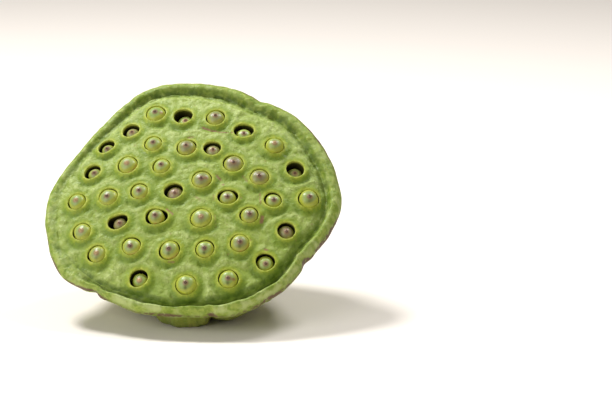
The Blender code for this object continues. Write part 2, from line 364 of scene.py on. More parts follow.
def face_layout(edge_ring):
    """Points of the seed face as seen square on it, with the rings that the mesh has to keep."""
    turns = even_turns(MOUTH_SIDES)
    all_turns = np.repeat(turns[:, None], len(WELLS), axis=1)
    radii = opening_radii(all_turns)
    rings = [edge_ring]
    loose = []
    for index in range(len(WELLS)):
        for offset in (0.0,) + COLLAR_RINGS:
            x = WELL_X[index] + (radii[:, index] + offset) * np.cos(turns)
            y = WELL_Y[index] + (radii[:, index] + offset) * np.sin(turns)
            ring = np.column_stack([x, y])
            if offset == 0.0:
                rings.append(ring)
                continue
            gaps = np.sort(gaps_to_openings(x, y), axis=1)
            inside = face_radius(np.arctan2(y, x)) - np.hypot(x, y)
            keep = (gaps[:, 1] - gaps[:, 0] > 0.3) & (inside > 0.45)
            loose.append(ring[keep])
    reach = np.arange(-62, 62, FILL_STEP)
    x, y = np.meshgrid(reach, reach * math.sqrt(0.75))
    x[1::2] += 0.5 * FILL_STEP
    x, y = x.ravel(), y.ravel()
    inside = face_radius(np.arctan2(y, x)) - np.hypot(x, y)
    keep = (gaps_to_openings(x, y).min(axis=1) > COLLAR_RINGS[-1] + 0.4) & (inside > 0.5)
    loose.append(np.column_stack([x, y])[keep])
    return rings, np.vstack(loose)


def face_mesh(edge_ring):
    """Points and triangles of the seed face; the edge ring comes first, then each well's mouth."""
    rings, loose = face_layout(edge_ring)
    flat = np.vstack(rings + [loose])
    ring_owners = [np.full(len(ring), index) for index, ring in enumerate(rings)]
    owners = np.concatenate(ring_owners + [-1 - np.arange(len(loose))])
    borders = []
    first = 0
    for ring in rings:
        count = len(ring)
        borders += [(first + step, first + (step + 1) % count) for step in range(count)]
        first += count
    _, _, triangles, sources, _, _ = delaunay_2d_cdt([Vector(p) for p in flat], borders, [], 0, 1e-5)
    faces = []
    for triangle in triangles:
        corners = [sources[corner][0] for corner in triangle]
        if len({owners[corner] for corner in corners}) > 1:
            faces.append(corners)
    return flat, faces


# Receptacle: rim and body

# Height of the rolled lip in mm, every 30 degrees of bearing
LIP_RISES = [0.9, 0.4, 0.3, 0.3, 0.3, 0.0, -0.2, -0.2, 1.1, 2.1, 2.1, 1.7]
# Nicks in the lip: bearing, how deep, and half the width in degrees; a lobe has a depth below 0
LIP_NICKS = [
    (228.0, 1.7, 2.6), (283.0, 0.9, 1.6), (331.0, 0.9, 2.5), (63.0, 0.6, 3.0), (151.0, 0.5, 5.0),
    (214.0, -1.8, 8.0), (236.0, 0.7, 6.0), (76.0, -0.8, 7.0), (22.0, -0.6, 12.0),
    (177.0, -0.7, 10.0), (250.0, -0.6, 10.0),
]
# Painted shade in the groove: how dark it is, every 30 degrees of bearing
GROOVE_SHADES = [0.75, 0.9, 0.9, 1.0, 0.95, 0.8, 0.6, 0.3, 0.7, 0.95, 0.95, 0.9]
# Dry purple-brown stretches of the lip: bearing, half the width in degrees, strength
LIP_DRY = [
    (197, 4, 0.8), (208, 4, 0.9), (223, 5, 0.6), (232, 2, 1.0), (262, 7, 0.5), (283, 2, 0.9),
    (310, 9, 0.5), (331, 3, 1.0), (345, 8, 0.8), (33, 5, 0.8), (69, 4, 1.0), (86, 3, 0.8),
]
BODY_HEIGHTS = [-9.0, -11.5, -14.5, -18.0, -22.0, -26.0, -30.0, -34.0, -38.0, -41.5, -44.5, -47.0, -49.0]
BASE_RADIUS = 7.6
# Swellings of the body under the lip: middle bearing, half the width in degrees, the bearing of
# the CAD rib it is built on, and how far its crest stands off that rib in mm
SWELLINGS = [(267.8, 13.8, 266.0, 1.7), (295.2, 12.3, 292.0, 0.0)]
# Fall of a swelling's outline at its sides, in mm
SWELLING_SAG = 4.5
RIM_STEPS = 4
BODY_STEPS = 3
# Radius of the circles on which the noise of the rim and of the body is read
RIM_NOISE_RADIUS = 55.0
BODY_NOISE_RADIUS = 46.0


def outwards_at(bearings):
    return np.column_stack([np.cos(bearings), np.sin(bearings), np.zeros_like(bearings)])


def turn_bell(bearings, middle, width):
    """A bump round a bearing; middle and width in degrees."""
    away = (np.degrees(bearings) - middle + 180.0) % 360.0 - 180.0
    return bell(away, 0.0, width)


def lip_outline(bearings):
    ring = outwards_at(bearings) * RIM_NOISE_RADIUS
    wobble = 0.35 * ripple(ring, 9.0, 4) + 0.2 * ripple(ring, 4.0, 5)
    nicks = sum(depth * turn_bell(bearings, at, width) for at, depth, width in LIP_NICKS)
    return lip_radius(bearings) + wobble - nicks


def swollen(radii, bearings, height):
    """The body's radii with the broad swellings that rest on the floor under the lip."""
    degrees = np.degrees(bearings)
    share = smooth(-height, 5.0, 9.0) * (1.0 - smooth(-height, 23.0, 38.0))
    for middle, half, crest_at, lift in SWELLINGS:
        away = np.abs(degrees - middle) / half
        crest = np.interp(crest_at, degrees, radii) + lift
        target = crest - SWELLING_SAG * (1.0 - np.sqrt(np.maximum(0.0, 1.0 - (away / 1.15) ** 2)))
        inside = 1.0 - smooth(away, 1.0, 1.25)
        radii = radii + share * inside * (target - radii)
    return radii - 2.0 * turn_bell(bearings, 238.0, 11.0) * bell(height, -14.0, 10.0)


def section_rows(bearings):
    """Radius and height of the control rings, from the face's edge over the lip and down the body."""
    edge = face_radius(bearings)
    width = lip_outline(bearings) - edge
    edge_height, _ = face_surface(edge * np.cos(bearings), edge * np.sin(bearings))
    level = DOME_HEIGHT * (1.0 - (edge / DOME_RADIUS) ** 2)
    groove = round_trip(GROOVE_DEPTHS, bearings)
    rise = round_trip(LIP_RISES, bearings)
    shape = [
        (0.12, -0.7 * groove),
        (0.25, -1.0 * groove),
        (0.38, -0.55 * groove + 0.4 * rise),
        (0.50, 0.85 * rise),
        (0.66, 1.05 * rise),
        (0.82, 0.75 * rise - 0.6),
        (0.95, 0.3 * rise - 1.8),
        (1.0, -3.0),
        (0.97, -4.0),
        (0.87, -5.1),
        (0.68, -6.1),
        (0.42, -7.2),
    ]
    rows = [np.stack([edge, edge_height], axis=-1)]
    rows += [np.stack([edge + share * width, level + height], axis=-1) for share, height in shape]
    for height in BODY_HEIGHTS:
        radii = swollen(round_trip(outside_radii(height), bearings), bearings, height)
        rows.append(np.stack([radii, np.full_like(radii, height)], axis=-1))
    rows.append(np.stack([np.full_like(edge, BASE_RADIUS), np.full_like(edge, -BODY_DEPTH)], axis=-1))
    return np.array(rows), len(shape)


def rim_and_body():
    """The rim and body's points, row by row from the face's edge to the base.

    With them come each point's row and bearing, the number of rows, and how pitted each point is.
    """
    bearings = even_turns(RIM_COLUMNS)
    controls, lip_rows = section_rows(bearings)
    last = len(controls) - 1.0
    on_lip = np.arange(0, lip_rows, 1.0 / RIM_STEPS)
    places = np.concatenate([on_lip, np.arange(lip_rows, last, 1.0 / BODY_STEPS), [last]])
    rows = spline(controls, places)
    radius, height = rows[..., 0], rows[..., 1]
    x, y = radius * np.cos(bearings), radius * np.sin(bearings)
    row = np.repeat(places[:, None], RIM_COLUMNS, axis=1)
    points = np.stack([x, y, height], axis=-1).reshape(-1, 3)
    row = row.ravel()
    bearing = np.tile(bearings, len(places))
    outwards = outwards_at(bearing)

    on_rim = smooth(row, 0.0, 1.0) * (1.0 - smooth(row, 7.0, 11.0))
    dents = 0.30 * ripple(points, 4.2, 6) + 0.12 * ripple(points, 2.0, 7)
    around_rim = outwards * RIM_NOISE_RADIUS
    across = around_rim + np.column_stack([np.zeros_like(row), np.zeros_like(row), row])
    pleats = ripple(across, (2.3, 2.3, 6.0), 15) + 0.7 * ripple(across, (4.5, 4.5, 7.0), 16)
    pits = bell(row, 2.4, 1.6) * smooth(ripple(across, (3.8, 3.8, 5.0), 17), 0.0, 0.45)
    pits *= 0.35 + 0.65 * turn_bell(bearing, 38.0, 42.0)
    rope = np.maximum(turn_bell(bearing, 285.0, 45.0), 0.35) * bell(row, 5.0, 3.0)
    cross = ripple(around_rim, 4.6, 19)
    points[:, 2] += on_rim * (dents + 0.32 * pleats) - 1.0 * pits + 0.8 * rope * cross
    on_body = smooth(row, lip_rows - 1.0, lip_rows + 3.0) * (1.0 - smooth(row, last - 2.0, last))
    on_body *= 1.0 - 0.8 * turn_bell(bearing, 281.0, 32.0) * (1.0 - smooth(row, 16.0, 19.0))
    down_body = outwards * BODY_NOISE_RADIUS + points * [0, 0, 1.0]
    folds = ripple(down_body, (5.5, 5.5, 40.0), 8)
    fine = ripple(down_body, (2.4, 2.4, 18.0), 9)
    lumps = ripple(points, 6.0, 10)
    creases = 0.45 - 2.0 * np.abs(ripple(down_body, (7.5, 7.5, 55.0), 20))
    points += outwards * (on_body * (1.5 * folds + 1.2 * creases + 0.5 * fine + 0.9 * lumps))[:, None]
    furrows = smooth(-pleats, 0.05, 0.55) * bell(row, 2.8, 2.6)
    return points, row, bearing, len(places), np.maximum(pits, 0.7 * furrows)


# Scars on the face: from x, y to x, y in mm, width, strength
SCARS = [
    (2.0, 32.6, 6.0, 31.0, 0.42, 1.0), (6.0, 31.0, 10.0, 30.3, 0.3, 1.0),
    (10.0, 30.3, 14.5, 30.2, 0.22, 0.9), (-3.3, 27.0, -1.4, 27.7, 0.5, 0.9),
    (9.8, 9.2, 11.4, 7.6, 0.55, 0.8), (20.3, 9.8, 22.2, 7.2, 0.55, 0.6),
    (12.6, 5.2, 12.7, 5.3, 0.6, 0.8), (9.2, 0.4, 9.4, -1.9, 0.6, 0.5),
    (2.1, -0.8, 3.9, -2.1, 0.8, 0.5), (27.6, 2.1, 28.1, -2.5, 0.6, 0.6),
    (20.3, -0.6, 20.4, -0.7, 0.5, 0.7), (29.2, -8.2, 28.9, -10.6, 0.7, 1.0),
    (10.5, -8.3, 11.1, -13.9, 0.4, 0.5), (16.7, -24.9, 16.8, -25.0, 0.7, 0.6),
    (25.3, -18.9, 25.4, -18.4, 0.6, 0.5), (31.0, -22.2, 32.0, -22.2, 0.5, 0.8),
    (1.0, -26.0, 1.1, -26.1, 0.5, 0.4), (-9.2, -6.5, -6.5, -8.8, 0.5, 0.8),
    (-7.6, -12.8, -7.5, -12.9, 0.5, 0.5), (-6.6, -29.4, -4.4, -29.4, 0.5, 0.6),
    (-4.4, -43.2, -4.3, -43.3, 0.5, 0.6),
]
SCAR_DEPTH = 0.35


def strokes(x, y):
    """How scarred the face is at each point."""
    scar = np.zeros_like(x)
    for x1, y1, x2, y2, width, strength in SCARS:
        run = np.array([x2 - x1, y2 - y1])
        t = np.clip(((x - x1) * run[0] + (y - y1) * run[1]) / (run @ run), 0, 1)
        away = np.hypot(x - x1 - t * run[0], y - y1 - t * run[1])
        scar = np.maximum(scar, strength * bell(away, 0.0, width))
    return scar


# Depths of the rows of points down a well, in mm, and what the skin is told about its wall
WALL_DEPTHS = (0.35, 0.8, 1.5, 2.6, 4.5, 8.0)
WALL_VALUES = {"opening": 0.0, "lower": 0.5, "bloom_and_highlight": 0.0, "valley": 0.0, "lip_row": 0.0, "groove": 0.0}


def well_walls(well, mouth, middle):
    """Rows of points down a well from its mouth, and each point's depth."""
    rows = []
    depths = []
    for depth in WALL_DEPTHS + (well.length - well.tip_out + CAD_SEED_CLEARANCE,):
        widen = 1.0 + 0.05 * smooth(depth, 0.3, 2.5)
        rows.append(middle + (mouth - middle) * widen - well.axis * depth)
        depths += [depth] * len(mouth)
    return np.vstack(rows), depths


def build_receptacle(skin):
    tube, row, bearing, tube_rows, pits = rim_and_body()
    flat, faces = face_mesh(tube[:RIM_COLUMNS, :2])
    height, values = face_surface(flat[:, 0], flat[:, 1])
    height -= SCAR_DEPTH * strokes(flat[:, 0], flat[:, 1])
    face = np.column_stack([flat, height])
    face[:RIM_COLUMNS] = tube[:RIM_COLUMNS]
    for key in ("lip_row", "depth"):
        values[key] = np.zeros(len(face))

    parts = [face]
    first = len(face)
    tail = tube[RIM_COLUMNS:]
    _, tail_values = face_surface(tail[:, 0], tail[:, 1])
    beyond = smooth(row[RIM_COLUMNS:], 0.0, 3.0)
    values["opening"] = np.append(values["opening"], tail_values["opening"] + 6.0 * beyond)
    for key in ("bloom_and_highlight", "valley", "lower"):
        values[key] = np.append(values[key], tail_values[key] * (1.0 - beyond))
    # Painted shade in the groove round the rim and in its pits and furrows
    shade = round_trip(GROOVE_SHADES, bearing) * bell(row, 2.3, 2.0)
    values["groove"] = np.append(values["groove"], np.maximum(shade, pits)[RIM_COLUMNS:])
    values["lip_row"] = np.append(values["lip_row"], row[RIM_COLUMNS:])
    values["depth"] = np.append(values["depth"], np.zeros(len(tail)))
    parts.append(tail)
    here = np.arange(RIM_COLUMNS)
    after = (here + 1) % RIM_COLUMNS
    faces += np.stack([after, here, first + here, first + after], axis=-1).tolist()
    faces += [quad[::-1] for quad in ring_faces(first, RIM_COLUMNS, tube_rows - 1)]
    first += len(tail)
    faces.append(list(range(first - RIM_COLUMNS, first))[::-1])

    for index, well in enumerate(WELLS):
        start = RIM_COLUMNS + index * MOUTH_SIDES
        mouth = face[start : start + MOUTH_SIDES]
        walls, depths = well_walls(well, mouth, mouth.mean(axis=0))
        here = np.arange(MOUTH_SIDES)
        after = (here + 1) % MOUTH_SIDES
        faces += np.stack([start + here, start + after, first + after, first + here], axis=-1).tolist()
        faces += ring_faces(first, MOUTH_SIDES, len(WALL_DEPTHS) + 1)
        parts.append(walls)
        first += len(walls)
        faces.append(list(range(first - MOUTH_SIDES, first)))
        values["depth"] = np.append(values["depth"], depths)
        for key, filler in WALL_VALUES.items():
            values[key] = np.append(values[key], np.full(len(walls), filler))

    points = np.vstack(parts)
    turns = np.arctan2(points[:, 1], points[:, 0])
    values["scar"] = strokes(points[:, 0], points[:, 1]) * (values["lip_row"] == 0.0)
    dry = sum(strength * turn_bell(turns, at, width) for at, width, strength in LIP_DRY)
    values["dry"] = 0.4 * bell(values["lip_row"], 7.8, 0.7) + dry * bell(values["lip_row"], 7.7, 1.1)
    values["low_side"] = 0.6 - 0.4 * np.sin(turns)
    values["dry"] += 0.35 * bell(values["lip_row"], 6.8, 0.6) * smooth(np.sin(turns), 0.0, 0.3)
    around = BODY_NOISE_RADIUS * np.column_stack([np.cos(turns), np.sin(turns)])
    values["grain"] = np.column_stack([around, 0.15 * points[:, 2]]) * MM
    world = to_world(points)
    world[:, 2] = np.maximum(world[:, 2], FLOOR_GAP * MM)
    return add_piece("receptacle_skin", to_pod(world), faces, skin, values)


# Seeds

SEED_SIDES = 36
CAP_ROWS = 12
SHANK_ROWS = 18
SEED_ROWS = CAP_ROWS + SHANK_ROWS
# Heights of a seed's rounded cap, in mm
CAP_HEIGHT = 3.0
LEAST_CAP_HEIGHT = 2.2
NUB_RADIUS = 0.95
NUB_HEIGHT = 0.22
SEED_PLAY = 0.10
# How far below its tip a seed leans about
SEED_PIVOT = 5.0
# How far a seed leans off its well's middle, towards the right and down the face
SEED_SHIFT = (0.20, -0.28)
# How purple a seed's top is, from 0 for pale green
PURPLE = {
    "seed_03": 0.5, "seed_06": 0.3, "seed_08": 0.8, "seed_18": 0.5, "seed_20": 0.6, "seed_21": 0.75,
    "seed_22": 0.8, "seed_23": 0.7, "seed_26": 0.35, "seed_30": 0.75, "seed_34": 0.5,
    "seed_38": 1.0,
}
# How strong the brown halo round a seed's tip is, and the dark smudge below the tip
HALO = {
    "seed_07": 0.6, "seed_13": 0.2, "seed_14": 0.15, "seed_15": 0.15, "seed_16": 0.3,
    "seed_20": 0.8, "seed_22": 1.0, "seed_23": 1.0, "seed_25": 1.0, "seed_26": 0.9, "seed_34": 0.9,
    "seed_36": 0.9, "seed_37": 0.6,
}
SMUDGE = {
    "seed_07": 0.5, "seed_10": 0.9, "seed_11": 1.0, "seed_13": 0.5, "seed_26": 0.7, "seed_27": 1.0,
    "seed_28": 0.8,
}
# How pale and orange a seed's tip is, partly tip colour and partly a painted highlight on its core; the
# rest are dark brown
TIP_TONE_AND_GLINT = {
    "seed_15": 1.0, "seed_14": 1.0, "seed_13": 1.0, "seed_12": 0.9, "seed_05": 1.0, "seed_32": 1.0,
    "seed_36": 0.8,
}
# Red-brown marks on the seeds: how far to the right of the tip and above it, in mm
MARKS = {
    "seed_01": (2.5, -0.2), "seed_10": (2.1, -0.3), "seed_22": (-1.2, 0.5), "seed_34": (1.9, 0.3),
}
NO_MARK = (9.0, 9.0)
SEED_RNG = np.random.default_rng(5)


def seed_outline(length, radius, cap_height):
    """Radius and distance below the tip, row by row from the tip to the base."""
    on_cap = np.linspace(0.0, 1.0, CAP_ROWS) ** 2.4 * cap_height * 0.999
    below = np.concatenate([on_cap, np.linspace(cap_height, length, SHANK_ROWS)])
    cap = np.sqrt(1.0 - (1.0 - np.minimum(below, cap_height) / cap_height) ** 2)
    foot = np.sqrt(1.0 - smooth(below, 0.55 * length, length) ** 2 * 0.999)
    across = radius * cap * foot
    nub = NUB_HEIGHT * (1.0 - smooth(across, 0.35 * NUB_RADIUS, 1.25 * NUB_RADIUS))
    return across, below - nub


def build_seed(well, skin):
    """One seed, leaning a little in its well, with its tip where the CAD seed has it."""
    index = WELLS.index(well)
    sunk = smooth(-well.tip_out, 0.0, 2.0)
    radius = (well.radius * (1.0 - OVAL[index] - TRI[index]) - SEED_PLAY) * (1.0 - 0.1 * sunk)
    cap_height = min(CAP_HEIGHT, max(LEAST_CAP_HEIGHT, well.tip_out + 0.5))
    across, below = seed_outline(well.length - NUB_HEIGHT, radius, cap_height)
    across[0] = 0.0
    lean = SEED_RNG.normal(0.0, 0.05, 2)
    turns = even_turns(SEED_SIDES)
    oval = 1.0 + 0.02 * np.cos(2 * (turns - SEED_RNG.uniform(0, math.pi)))
    x = across[:, None] * np.cos(turns) * oval
    y = across[:, None] * np.sin(turns) * oval
    z = -NUB_HEIGHT - np.repeat(below[:, None], SEED_SIDES, axis=1)
    local = np.stack([x, y, z], axis=-1).reshape(-1, 3)
    local = np.vstack([[0.0, 0.0, z[0, 0]], local[SEED_SIDES:]])
    swell = 0.06 * ripple(local + 10.0 * index, 2.6, 12) * smooth(-local[:, 2], 0.3, 2.0)
    local[:, :2] *= (1.0 + swell)[:, None] * 0.985

    side = np.cross([0.0, 1.0, 0.0], well.axis)
    side /= np.linalg.norm(side)
    up = np.cross(well.axis, side)
    axis = well.axis + lean[0] * side + lean[1] * up
    axis /= np.linalg.norm(axis)
    middle = well.tip - well.axis * SEED_PIVOT + SEED_SHIFT[0] * side + SEED_SHIFT[1] * up
    local[:, 2] += SEED_PIVOT
    points = middle + local[:, :1] * side + local[:, 1:2] * up + local[:, 2:] * axis
    rise = (points - well.mouth) @ well.axis
    faces = [[0, 1 + step, 1 + (step + 1) % SEED_SIDES] for step in range(SEED_SIDES)]
    faces += ring_faces(1, SEED_SIDES, SEED_ROWS - 1)
    faces.append(list(range(len(points) - SEED_SIDES, len(points))))
    tip_gap = np.hypot(local[:, 0], local[:, 1])
    halo = np.exp(-((np.hypot(local[:, 0] - 0.25, local[:, 1] + 0.45) / 1.5) ** 2))
    smudge = bell(local[:, 0], 0.0, 0.65) * bell(local[:, 1], -2.0, 0.7)
    mark_x, mark_y = MARKS.get(well.node, NO_MARK)
    mark = bell(local[:, 0], mark_x, 0.7) * bell(local[:, 1], mark_y, 0.6)
    lower_right = smooth(0.6 * local[:, 0] - 0.8 * local[:, 1], 0.2 * radius, 0.8 * radius)
    line = lower_right * bell(rise, 0.2, 0.3) * SEED_RNG.uniform(-0.5, 1.0)
    values = {
        "tip": tip_gap,
        "rim": tip_gap / radius + 0.2 * lower_right,
        "line": np.maximum(line, 0.0),
        "sunk": np.full(len(points), sunk),
        "nub_tone_and_glint": np.full(len(points), TIP_TONE_AND_GLINT.get(well.node, SEED_RNG.uniform(0.0, 0.6))),
        "halo": halo * HALO.get(well.node, SEED_RNG.uniform(0.1, 0.5)),
        "mark": mark,
        "smudge": smudge * SMUDGE.get(well.node, SEED_RNG.uniform(0.0, 0.2)),
        "purple": np.full(len(points), PURPLE.get(well.node, SEED_RNG.uniform(0.0, 0.25))),
        "seed_tone": np.full(len(points), SEED_RNG.uniform(0.0, 1.0)),
    }
    return add_piece(well.node + "_skin", points, faces, skin, values)


# Stem

STEM_SIDES = 72
STEM_STEP = 0.8
STEM_STRAIGHT_SHARE = 0.25
BEND_POINTS = 60
FLANGE_RADIUS = 7.7
STEM_RIBS = 17
STEM_RIB_HEIGHT = 0.10
# The cut end: its rings, and the depth of the air channels and of the hollowed face, in mm
CUT_RINGS = 24
CHANNEL_DEPTH = 1.6
CUT_DISH = 0.25
CUT_GRAIN_PLACE = 9.0
# Air channels: x and y on the cut, and size, in mm
AIR_CHANNELS = [(0.0, 0.0, 0.75)]
AIR_CHANNELS += [(2.9 * math.cos(turn), 2.9 * math.sin(turn), 1.05) for turn in even_turns(7)]


def stem_measures():
    """Start, corner and end of the stem's middle line and its radius, in world mm."""
    corners = np.array([vert.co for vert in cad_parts["stem"].data.vertices]) / MM
    start = to_world([[0.0, 0.0, -BODY_DEPTH]])[0] / MM
    end = corners[corners[:, 1] > corners[:, 1].max() - 0.1].mean(axis=0)
    radius = end[2]
    heading = to_world([[0.0, 0.0, -BODY_DEPTH - 1.0]])[0] / MM - start
    corner = start + heading * (start[2] - end[2]) / -heading[2]
    return start, corner, end, radius


def stem_line(start, corner, end):
    """Evenly spaced points along the stem's middle, from the base round the bend to the cut."""
    leave = start + (corner - start) * STEM_STRAIGHT_SHARE
    join = corner + (end - corner) / np.linalg.norm(end - corner) * np.linalg.norm(corner - leave)
    t = np.linspace(0.0, 1.0, BEND_POINTS)[:, None]
    bend = (1 - t) ** 2 * leave + 2 * t * (1 - t) * corner + t**2 * join
    line = np.vstack([start, bend, end])
    travelled = np.concatenate([[0.0], np.cumsum(np.linalg.norm(np.diff(line, axis=0), axis=1))])
    steps = np.linspace(0.0, travelled[-1], int(travelled[-1] / STEM_STEP))
    return np.column_stack([np.interp(steps, travelled, line[:, axis]) for axis in range(3)]), steps


def build_stem(skin):
    start, corner, end, radius = stem_measures()
    line, travelled = stem_line(start, corner, end)
    heading = np.gradient(line, axis=0)
    heading /= np.linalg.norm(heading, axis=1)[:, None]
    side = np.array([1.0, 0.0, 0.0])
    upright = np.cross(side, heading)
    turns = even_turns(STEM_SIDES)
    flange = bell(travelled, 1.8, 1.6)
    radii = radius * 0.985 + (FLANGE_RADIUS - radius) * flange
    ribs = STEM_RIB_HEIGHT * np.cos(STEM_RIBS * turns + 0.6 * np.sin(3 * turns))
    reach = radii[:, None] + ribs
    points = line[:, None] + reach[..., None] * (
        np.cos(turns)[None, :, None] * upright[:, None] + np.sin(turns)[None, :, None] * side
    )
    points = points.reshape(-1, 3)
    rows = len(line)
    around = np.column_stack([np.tile(np.cos(turns), rows), np.tile(np.sin(turns), rows)]) * radius
    along = np.repeat(travelled, STEM_SIDES)
    swell = ripple(np.column_stack([around, along]), (4.0, 4.0, 14.0), 20)
    middles = np.repeat(line, STEM_SIDES, axis=0)
    points = middles + (points - middles) * (1.0 + 0.03 * swell)[:, None]
    faces = [quad[::-1] for quad in ring_faces(0, STEM_SIDES, rows)]
    faces.append(list(range(STEM_SIDES)))

    last = points[-STEM_SIDES:]
    cut = []
    cut_depths = []
    shares = np.linspace(1.0, 0.0, CUT_RINGS + 2)[1:-1]
    for share in shares:
        ring = end + (last - end) * share
        across = (ring - end) @ side
        above = (ring - end) @ upright[-1]
        hole = np.zeros(STEM_SIDES)
        for x, y, size in AIR_CHANNELS:
            from_channel = np.hypot(across - x, above - y)
            hole = np.maximum(hole, 1.0 - smooth(from_channel, 0.75 * size, 1.1 * size))
        sunk = CHANNEL_DEPTH * hole[:, None] - CUT_DISH * smooth(1.0 - share, 0.0, 0.12)
        cut.append(ring - heading[-1] * sunk)
        cut_depths.append(hole)
    middle_point = end - heading[-1] * (CHANNEL_DEPTH - CUT_DISH)
    points = np.vstack([points] + cut + [[middle_point]])
    first = rows * STEM_SIDES
    faces += [quad[::-1] for quad in ring_faces(first - STEM_SIDES, STEM_SIDES, len(shares) + 1)]
    middle = len(points) - 1
    inner = middle - STEM_SIDES
    faces += [[inner + (step + 1) % STEM_SIDES, inner + step, middle] for step in range(STEM_SIDES)]
    points[:, 2] = np.maximum(points[:, 2], FLOOR_GAP)
    count = len(points)
    cut_face = np.zeros(count)
    cut_face[first:] = 1.0
    channel = np.zeros(count)
    channel[first:] = np.append(np.concatenate(cut_depths), 1.0)
    travel = np.full(count, travelled[-1])
    travel[:first] = along
    grain = np.zeros((count, 3))
    grain[:first] = np.column_stack([around, 0.12 * along])
    from_end = points[first:] - end
    place = np.full(count - first, CUT_GRAIN_PLACE)
    grain[first:] = np.column_stack([from_end @ side, from_end @ upright[-1], place])
    values = {"travel": travel, "cut_face": cut_face, "channel": channel, "grain": grain * MM}
    return add_piece("stem_skin", to_pod(points * MM), faces, skin, values)


# Skins

class Skin:
    """A plant skin: a Principled material and short calls for the nodes that drive it."""

    def __init__(self, name, roughness, subsurface):
        self.material = bpy.data.materials.new(name)
        self.material.use_nodes = True
        self.nodes = self.material.node_tree.nodes
        self.links = self.material.node_tree.links
        self.shader = self.nodes["Principled BSDF"]
        settings = {
            "Roughness": roughness,
            "Specular IOR Level": 0.35,
            "Subsurface Weight": subsurface,
            "Subsurface Radius": (1.0, 1.4, 0.4),
            "Subsurface Scale": 1.2 * MM,
        }
        for key, value in settings.items():
            self.put(self.shader.inputs[key], value)

    def put(self, socket, value):
        if isinstance(value, bpy.types.NodeSocket):
            self.links.new(value, socket)
        elif isinstance(value, tuple):
            socket.default_value = (*value, 1.0)[: len(socket.default_value)]
        else:
            socket.default_value = value

    def node(self, kind, inputs):
        """A new node, whose inputs are numbers, colours or other nodes' outputs."""
        node = self.nodes.new("ShaderNode" + kind)
        for key, value in inputs.items():
            self.put(node.inputs[key], value)
        return node

    def value(self, name, output="Fac"):
        """What the mesh says at each point under this name."""
        node = self.node("Attribute", {})
        node.attribute_name = name
        return node.outputs[output]

    def noise(self, size, detail=3.0, distortion=0.0, place=None, rough=0.5):
        """Noise with features about size mm wide, from 0 to 1."""
        inputs = {
            "Vector": place or self.node("TexCoord", {}).outputs["Object"],
            "Scale": 1.0 / (size * MM),
            "Detail": detail,
            "Roughness": rough,
            "Distortion": distortion,
        }
        return self.node("TexNoise", inputs).outputs["Fac"]

    def math(self, operation, first, second):
        node = self.node("Math", {0: first, 1: second})
        node.operation = operation
        return node.outputs[0]

    def times(self, first, second):
        return self.math("MULTIPLY", first, second)

    def span(self, value, low, high, start=0.0, end=1.0):
        """Runs smoothly from start to end as value goes from low to high."""
        inputs = {"Value": value, "From Min": low, "From Max": high, "To Min": start, "To Max": end}
        node = self.node("MapRange", inputs)
        node.interpolation_type = "SMOOTHSTEP"
        return node.outputs["Result"]

    def blend(self, share, under, over):
        """The colour under, with share of the colour over laid on it."""
        node = self.nodes.new("ShaderNodeMix")
        node.data_type = "RGBA"
        self.put(node.inputs["Factor"], share)
        self.put(node.inputs[6], under)
        self.put(node.inputs[7], over)
        return node.outputs[2]

    def bump(self, height, distance, under=None):
        """Bump whose height runs from 0 to 1 for distance mm."""
        inputs = {"Distance": distance * MM, "Height": height}
        if under is not None:
            inputs["Normal"] = under
        return self.node("Bump", inputs).outputs["Normal"]

    def finish(self, colour, roughness=None, normal=None):
        self.put(self.shader.inputs["Base Color"], colour)
        if roughness is not None:
            self.put(self.shader.inputs["Roughness"], roughness)
        if normal is not None:
            self.links.new(normal, self.shader.inputs["Normal"])
        return self.material


GREEN = (0.18, 0.265, 0.022)
LIGHT_GREEN = (0.25, 0.335, 0.036)
BLOOM = (0.33, 0.41, 0.105)
PALE_BLOOM = (0.46, 0.54, 0.20)
DEEP_GREEN = (0.085, 0.15, 0.008)
GROOVE_SHADE_GREEN = (0.065, 0.12, 0.008)
COLLAR_GREEN = (0.29, 0.355, 0.024)
MOUTH_LINE = (0.46, 0.49, 0.08)
SHADE_AND_SPOT_GREEN = (0.14, 0.225, 0.012)
RIM_GREEN = (0.30, 0.375, 0.06)
RIM_BLOOM = (0.44, 0.51, 0.19)
WELL_SHADE_DARK = (0.045, 0.040, 0.008)
WELL_SHADE_GREEN = (0.08, 0.09, 0.012)
SCAR_PINK = (0.27, 0.135, 0.075)
DRY_PURPLE = (0.12, 0.055, 0.04)
BODY_YELLOW = (0.33, 0.34, 0.055)
BODY_OLIVE = (0.17, 0.21, 0.022)
BODY_BROWN = (0.17, 0.13, 0.035)
BASE_RED = (0.30, 0.10, 0.03)
SEED_GREEN = (0.24, 0.345, 0.09)
SEED_PALE = (0.32, 0.41, 0.12)
SEED_RIM = (0.39, 0.43, 0.045)
SEED_MOTTLE = (0.16, 0.23, 0.06)
SEED_PURPLE = (0.20, 0.12, 0.10)
SEED_HALO = (0.15, 0.11, 0.06)
TIP_BROWN = (0.19, 0.11, 0.06)
TIP_TAN = (0.28, 0.18, 0.09)
CORE_BROWN = (0.09, 0.04, 0.03)
CORE_GLINT_ORANGE = (0.48, 0.31, 0.15)
SMUDGE_GREEN = (0.06, 0.065, 0.012)
MARK_RED = (0.26, 0.08, 0.04)
SEED_LINE = (0.40, 0.20, 0.025)
STEM_GREEN = (0.14, 0.21, 0.02)
STEM_YELLOW = (0.27, 0.33, 0.05)
STEM_FLECK = (0.13, 0.10, 0.03)
STEM_RED = (0.33, 0.12, 0.03)
STEM_TOP = (0.14, 0.05, 0.02)
CUT_PALE = (0.42, 0.45, 0.22)
CUT_GREEN = (0.30, 0.32, 0.12)
CHANNEL_SHADE = (0.07, 0.06, 0.02)


